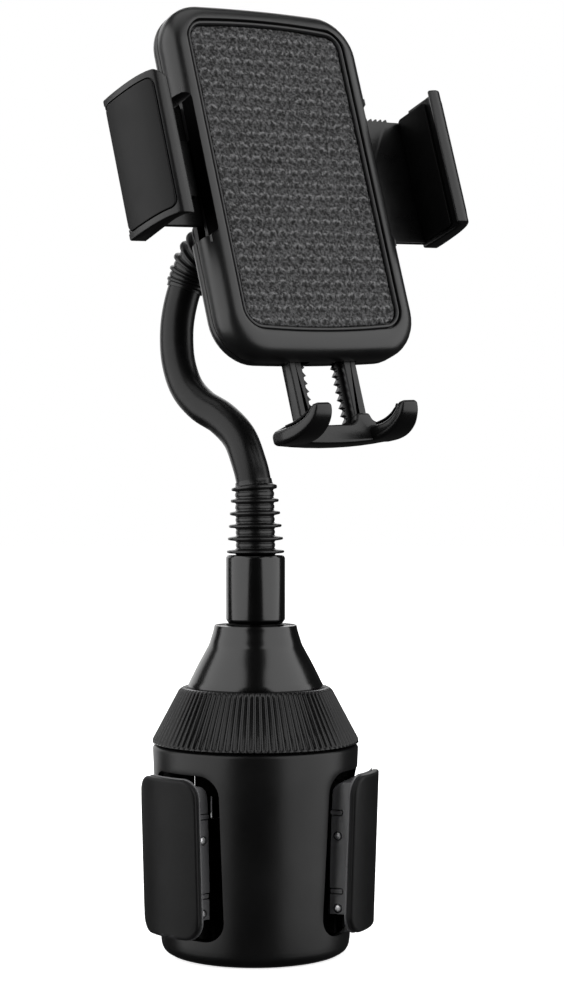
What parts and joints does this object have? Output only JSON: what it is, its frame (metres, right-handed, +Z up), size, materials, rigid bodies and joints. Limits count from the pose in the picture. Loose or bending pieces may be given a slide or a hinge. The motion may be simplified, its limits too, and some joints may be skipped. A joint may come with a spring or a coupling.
{
  "type": "car cup holder phone mount",
  "caption": "Phone cradle on a ball joint and bendable neck, held by an expanding cup-holder base whose pads are driven out by a turning ring.",
  "frame": {"origin": "centre of the cup base's flat underside", "axes": "+Z up along the base's axis, -Y towards the user; the cradle is stored turned 34 degrees about Z and leaning back 16 degrees, as pictured"},
  "size_m": [0.1193, 0.0958, 0.3117],
  "materials": {
    "cup_plastic": "fine matte moulded finish",
    "pad_rubber": "smooth soft-touch rubber",
    "bracket_plastic": "matte moulded finish",
    "ring_plastic": "ribbed matte finish",
    "satin_plastic": "satin gloss",
    "neck_rubber": "smooth sleeve over a bendable core",
    "boot_rubber": "ribbed soft boot",
    "case_plastic": "satin moulded finish",
    "arm_plastic": "satin moulded finish",
    "cap_plastic": "fine satin finish",
    "button_plastic": "satin moulded finish",
    "grip_rubber": "embossed woven texture",
    "jaw_rubber": "smooth soft rubber",
    "inner_plastic": "plain moulded finish",
    "chrome_pin": "polished",
    "steel": "plated",
    "nylon": "natural nylon"
  },
  "bodies": {
    "base": {"base_cup": "cup_plastic", "base_bottom_cover": "cup_plastic", "bottom_screw_1": "steel", "bottom_screw_2": "steel", "bottom_screw_3": "steel", "guide_chassis": "inner_plastic", "centre_post": "steel", "neck_cone": "satin_plastic", "lower_ferrule": "satin_plastic", "lower_boot": "boot_rubber", "gooseneck_1": "neck_rubber"},
    "ring": {"adjust_ring": "ring_plastic", "lead_screw": "inner_plastic"},
    "carriage": {"carriage": "inner_plastic"},
    "wing_1": {"wing_pad_1": "pad_rubber", "wing_bracket_1": "bracket_plastic", "wing_slider_1": "inner_plastic", "wing_pin_upper_1": "chrome_pin", "wing_pin_lower_1": "chrome_pin"},
    "wing_2": {"wing_pad_2": "pad_rubber", "wing_bracket_2": "bracket_plastic", "wing_slider_2": "inner_plastic", "wing_pin_upper_2": "chrome_pin", "wing_pin_lower_2": "chrome_pin"},
    "wing_3": {"wing_pad_3": "pad_rubber", "wing_bracket_3": "bracket_plastic", "wing_slider_3": "inner_plastic", "wing_pin_upper_3": "chrome_pin", "wing_pin_lower_3": "chrome_pin"},
    "neck_2": {"gooseneck_2": "neck_rubber"},
    "neck_3": {"gooseneck_3": "neck_rubber"},
    "neck_4": {"gooseneck_4": "neck_rubber"},
    "neck_5": {"gooseneck_5": "neck_rubber", "upper_boot": "boot_rubber", "ball_stud": "inner_plastic"},
    "liner": {"ball_liner": "nylon"},
    "seat": {"socket_seat": "inner_plastic"},
    "cradle": {"ball_socket": "case_plastic", "back_cover": "case_plastic", "front_cover": "case_plastic", "grip_pad": "grip_rubber", "case_screw_1": "steel", "case_screw_2": "steel", "pinion_spring": "steel", "foot_detent": "inner_plastic", "button_spring": "steel"},
    "lock_nut": {"lock_nut": "case_plastic"},
    "left_arm": {"left_arm": "arm_plastic", "left_jaw_cap": "cap_plastic", "left_jaw_pad": "jaw_rubber"},
    "right_arm": {"right_arm": "arm_plastic", "right_jaw_cap": "cap_plastic", "right_jaw_pad": "jaw_rubber"},
    "pinion": {"pinion": "nylon"},
    "foot": {"foot_support": "arm_plastic", "hook_pad_left": "jaw_rubber", "hook_pad_right": "jaw_rubber"},
    "button": {"release_button": "button_plastic"},
    "pawl": {"lock_pawl": "inner_plastic"}
  },
  "joints": [
    {"name": "ring_turn", "type": "hinge", "parent": "base", "child": "ring", "pos_m": [0, 0, 0.078], "axis": [0, 0, 1], "range_deg": [-290, 325]},
    {"name": "carriage_lift", "type": "slide", "parent": "base", "child": "carriage", "axis": [0, 0, 1], "range_m": [-0.0074, 0.0066]},
    {"name": "wing_slide_1", "type": "slide", "parent": "base", "child": "wing_1", "axis": [-0.7314, -0.682, 0], "range_m": [-0.0066, 0.0074]},
    {"name": "wing_slide_2", "type": "slide", "parent": "base", "child": "wing_2", "axis": [0.9563, -0.2924, 0], "range_m": [-0.0066, 0.0074]},
    {"name": "wing_slide_3", "type": "slide", "parent": "base", "child": "wing_3", "axis": [-0.225, 0.9744, 0], "range_m": [-0.0066, 0.0074]},
    {"name": "neck_bend_1", "type": "hinge", "parent": "base", "child": "neck_2", "pos_m": [-0.004, 0.00388, 0.16571], "axis": [0.9443, 0.1513, 0.2921], "range_deg": [-22, 10]},
    {"name": "neck_bend_2", "type": "hinge", "parent": "neck_2", "child": "neck_3", "pos_m": [-0.01462, 0.01388, 0.17745], "axis": [0.4798, 0.8323, -0.2778], "range_deg": [-22, 10]},
    {"name": "neck_bend_3", "type": "hinge", "parent": "neck_3", "child": "neck_4", "pos_m": [-0.02506, 0.02359, 0.18949], "axis": [0.9507, 0.1372, 0.2781], "range_deg": [-22, 10]},
    {"name": "neck_bend_4", "type": "hinge", "parent": "neck_4", "child": "neck_5", "pos_m": [-0.02732, 0.02956, 0.20722], "axis": [-0.0135, 0.9759, -0.2178], "range_deg": [-22, 10]},
    {"name": "ball_tilt", "type": "hinge", "parent": "neck_5", "child": "liner", "pos_m": [-0.00048, 0.01493, 0.2434], "axis": [0.8203, 0.5698, 0.049], "range_deg": [-20, 14]},
    {"name": "ball_pan", "type": "hinge", "parent": "liner", "child": "seat", "pos_m": [-0.00048, 0.01493, 0.2434], "axis": [-0.1961, 0.1998, 0.96], "range_deg": [-8, 26]},
    {"name": "ball_spin", "type": "hinge", "parent": "seat", "child": "cradle", "pos_m": [-0.00048, 0.01493, 0.2434], "axis": [-0.5373, 0.7971, -0.2756], "continuous": true},
    {"name": "lock_nut_turn", "type": "hinge", "parent": "cradle", "child": "lock_nut", "pos_m": [-0.00048, 0.01493, 0.2434], "axis": [-0.5373, 0.7971, -0.2756], "range_deg": [-90, 30]},
    {"name": "left_arm_slide", "type": "slide", "parent": "cradle", "child": "left_arm", "axis": [-0.8203, -0.5698, -0.049], "range_m": [-0.019, 0.008]},
    {"name": "right_arm_slide", "type": "slide", "parent": "cradle", "child": "right_arm", "axis": [0.8203, 0.5698, 0.049], "range_m": [-0.019, 0.008]},
    {"name": "pinion_turn", "type": "hinge", "parent": "cradle", "child": "pinion", "pos_m": [0.00662, 0.00377, 0.25426], "axis": [-0.5373, 0.7971, -0.2756], "range_deg": [-95, 212]},
    {"name": "foot_slide", "type": "slide", "parent": "cradle", "child": "foot", "axis": [0.1961, -0.1998, -0.96], "range_m": [-0.016, 0.012]},
    {"name": "button_press", "type": "slide", "parent": "cradle", "child": "button", "axis": [0.5373, -0.7971, 0.2756], "range_m": [0, 0.0015], "stiffness_N_per_m": 600, "springref_m": -0.001},
    {"name": "pawl_lift", "type": "slide", "parent": "cradle", "child": "pawl", "axis": [-0.1961, 0.1998, 0.96], "range_m": [0, 0.0015]}
  ],
  "couplings": [
    {"joint": "carriage_lift", "follows": "ring_turn", "m_per_rad": -0.0012732},
    {"joint": "wing_slide_1", "follows": "ring_turn", "m_per_rad": 0.0012732},
    {"joint": "wing_slide_2", "follows": "ring_turn", "m_per_rad": 0.0012732},
    {"joint": "wing_slide_3", "follows": "ring_turn", "m_per_rad": 0.0012732},
    {"joint": "right_arm_slide", "follows": "left_arm_slide", "ratio": 1},
    {"joint": "pinion_turn", "follows": "left_arm_slide", "rad_per_m": -166.67},
    {"joint": "pawl_lift", "follows": "button_press", "ratio": 1}
  ]
}
